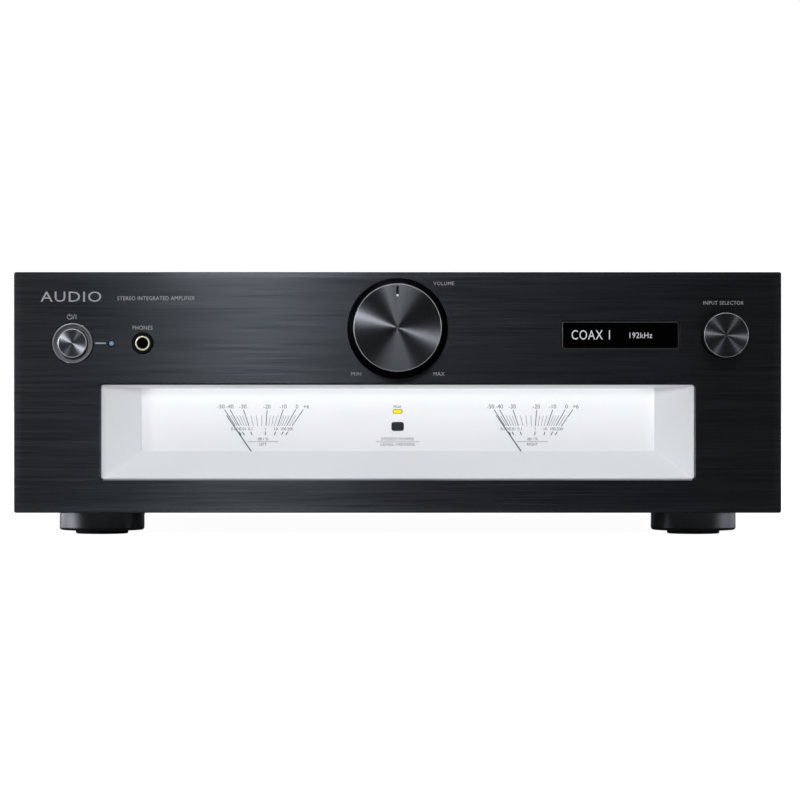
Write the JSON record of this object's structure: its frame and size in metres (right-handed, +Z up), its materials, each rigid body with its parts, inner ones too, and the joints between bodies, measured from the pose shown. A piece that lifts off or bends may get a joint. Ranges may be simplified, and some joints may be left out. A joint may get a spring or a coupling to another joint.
{
  "type": "integrated amplifier",
  "caption": "Full-width stereo amplifier with a black brushed front, volume and input knobs, power button, headphone socket, display and a lit recess with needle meters, on round feet.",
  "frame": {"origin": "under the middle of the whole box, on the plane that the foot pads rest on", "axes": "+Z up; the front panel faces -Y; +X to the right as seen from the front"},
  "size_m": [0.43, 0.428, 0.148],
  "materials": {
    "black_aluminium": "horizontally brushed, black anodised",
    "spun_aluminium": "concentrically spun, dark grey anodised, bright cut rim",
    "foot_metal": "satin, dark grey",
    "black_steel": "fine-textured black paint",
    "plain_steel": "zinc plated",
    "white_plastic": "satin white moulding",
    "dial_white": "satin white with fine printed scales",
    "light_bar": "lit white diffuser",
    "clear_plastic": "clear and polished",
    "needle_grey": "matt blue-grey",
    "gloss_black": "polished black",
    "smoked_plastic": "smoked, infrared-clear",
    "blue_lens": "lit blue lens",
    "amber_lens": "lit amber lens",
    "gold_plate": "polished gold plate",
    "black_plastic": "fine moulded black",
    "cap_plastic": "semi-clear black with a knurled rim",
    "rubber": "matt black",
    "circuit_board": "green solder mask",
    "transformer_can": "black potted shell",
    "heatsink_aluminium": "black anodised extrusion"
  },
  "bodies": {
    "chassis": {"front_panel": "black_aluminium", "front_subchassis": "plain_steel", "top_cover": "black_steel", "base_plate": "plain_steel", "rear_panel": "black_steel", "cover_screw_left_front": "black_steel", "foot_front_left": "foot_metal", "foot_pad_front_left": "rubber", "cover_screw_left_rear": "black_steel", "foot_rear_left": "foot_metal", "foot_pad_rear_left": "rubber", "cover_screw_right_front": "black_steel", "foot_front_right": "foot_metal", "foot_pad_front_right": "rubber", "cover_screw_right_rear": "black_steel", "foot_rear_right": "foot_metal", "foot_pad_rear_right": "rubber", "meter_window": "clear_plastic", "meter_surround": "white_plastic", "meter_dial": "dial_white", "meter_light_bar": "light_bar", "meter_movement_left": "black_plastic", "meter_movement_right": "black_plastic", "peak_indicator_lens": "amber_lens", "remote_sensor_window": "smoked_plastic", "volume_control": "plain_steel", "selector_encoder": "plain_steel", "power_button_ring": "spun_aluminium", "power_button_spring": "plain_steel", "power_switch": "black_plastic", "power_led": "blue_lens", "headphone_jack": "black_plastic", "headphone_sleeve": "gold_plate", "display_window": "gloss_black", "display_board": "circuit_board", "power_transformer": "transformer_can", "main_board": "circuit_board", "reservoir_capacitor_left": "black_plastic", "reservoir_capacitor_right": "black_plastic", "heatsink": "heatsink_aluminium", "mains_inlet": "black_plastic", "line_jacks": "gold_plate", "digital_sockets": "black_plastic", "speaker_terminal_block": "black_plastic"},
    "volume": {"volume_knob": "spun_aluminium", "volume_shaft": "plain_steel"},
    "selector": {"selector_knob": "spun_aluminium", "selector_shaft": "plain_steel"},
    "power": {"power_button": "spun_aluminium"},
    "needle_left": {"needle_left": "needle_grey"},
    "needle_right": {"needle_right": "needle_grey"},
    "ground_screw": {"ground_terminal": "gold_plate"},
    "speaker_washer_1": {"speaker_washer_1": "gold_plate"},
    "speaker_cap_1": {"speaker_cap_1": "cap_plastic"},
    "speaker_washer_2": {"speaker_washer_2": "gold_plate"},
    "speaker_cap_2": {"speaker_cap_2": "cap_plastic"},
    "speaker_washer_3": {"speaker_washer_3": "gold_plate"},
    "speaker_cap_3": {"speaker_cap_3": "cap_plastic"},
    "speaker_washer_4": {"speaker_washer_4": "gold_plate"},
    "speaker_cap_4": {"speaker_cap_4": "cap_plastic"}
  },
  "joints": [
    {"name": "volume_turn", "type": "hinge", "parent": "chassis", "child": "volume", "pos_m": [0, -0.192, 0.1164], "axis": [0, 1, 0], "range_deg": [-150, 150]},
    {"name": "selector_turn", "type": "hinge", "parent": "chassis", "child": "selector", "pos_m": [0.1824, -0.192, 0.1123], "axis": [0, 1, 0], "continuous": true},
    {"name": "power_press", "type": "slide", "parent": "chassis", "child": "power", "axis": [0, 1, 0], "range_m": [0, 0.003], "stiffness_N_per_m": 250, "springref_m": -0.001, "deforming": ["power_button_spring"]},
    {"name": "needle_left_swing", "type": "hinge", "parent": "chassis", "child": "needle_left", "pos_m": [-0.0764, -0.171, 0.0378], "axis": [0, 1, 0], "range_deg": [0, 70], "stiffness_Nm_per_rad": 0.00001, "springref_deg": -57.3},
    {"name": "needle_right_swing", "type": "hinge", "parent": "chassis", "child": "needle_right", "pos_m": [0.0764, -0.171, 0.0378], "axis": [0, 1, 0], "range_deg": [0, 70], "stiffness_Nm_per_rad": 0.00001, "springref_deg": -57.3},
    {"name": "speaker_washer_1_travel", "type": "slide", "parent": "chassis", "child": "speaker_washer_1", "axis": [0, 1, 0], "range_m": [0, 0.00374]},
    {"name": "speaker_cap_1_turn", "type": "hinge", "parent": "speaker_washer_1", "child": "speaker_cap_1", "pos_m": [-0.08, 0.208, 0.056], "axis": [0, 1, 0], "range_deg": [0, 1080]},
    {"name": "speaker_washer_2_travel", "type": "slide", "parent": "chassis", "child": "speaker_washer_2", "axis": [0, 1, 0], "range_m": [0, 0.00374]},
    {"name": "speaker_cap_2_turn", "type": "hinge", "parent": "speaker_washer_2", "child": "speaker_cap_2", "pos_m": [-0.056, 0.208, 0.056], "axis": [0, 1, 0], "range_deg": [0, 1080]},
    {"name": "speaker_washer_3_travel", "type": "slide", "parent": "chassis", "child": "speaker_washer_3", "axis": [0, 1, 0], "range_m": [0, 0.00374]},
    {"name": "speaker_cap_3_turn", "type": "hinge", "parent": "speaker_washer_3", "child": "speaker_cap_3", "pos_m": [-0.024, 0.208, 0.056], "axis": [0, 1, 0], "range_deg": [0, 1080]},
    {"name": "speaker_washer_4_travel", "type": "slide", "parent": "chassis", "child": "speaker_washer_4", "axis": [0, 1, 0], "range_m": [0, 0.00374]},
    {"name": "speaker_cap_4_turn", "type": "hinge", "parent": "speaker_washer_4", "child": "speaker_cap_4", "pos_m": [0, 0.208, 0.056], "axis": [0, 1, 0], "range_deg": [0, 1080]},
    {"name": "ground_screw_turn", "type": "hinge", "parent": "chassis", "child": "ground_screw", "pos_m": [0.196, 0.2, 0.112], "axis": [0, 1, 0], "range_deg": [0, 720]}
  ],
  "couplings": [
    {"joint": "speaker_cap_1_turn", "follows": "speaker_washer_1_travel", "rad_per_m": 5026.5},
    {"joint": "speaker_cap_2_turn", "follows": "speaker_washer_2_travel", "rad_per_m": 5026.5},
    {"joint": "speaker_cap_3_turn", "follows": "speaker_washer_3_travel", "rad_per_m": 5026.5},
    {"joint": "speaker_cap_4_turn", "follows": "speaker_washer_4_travel", "rad_per_m": 5026.5}
  ]
}
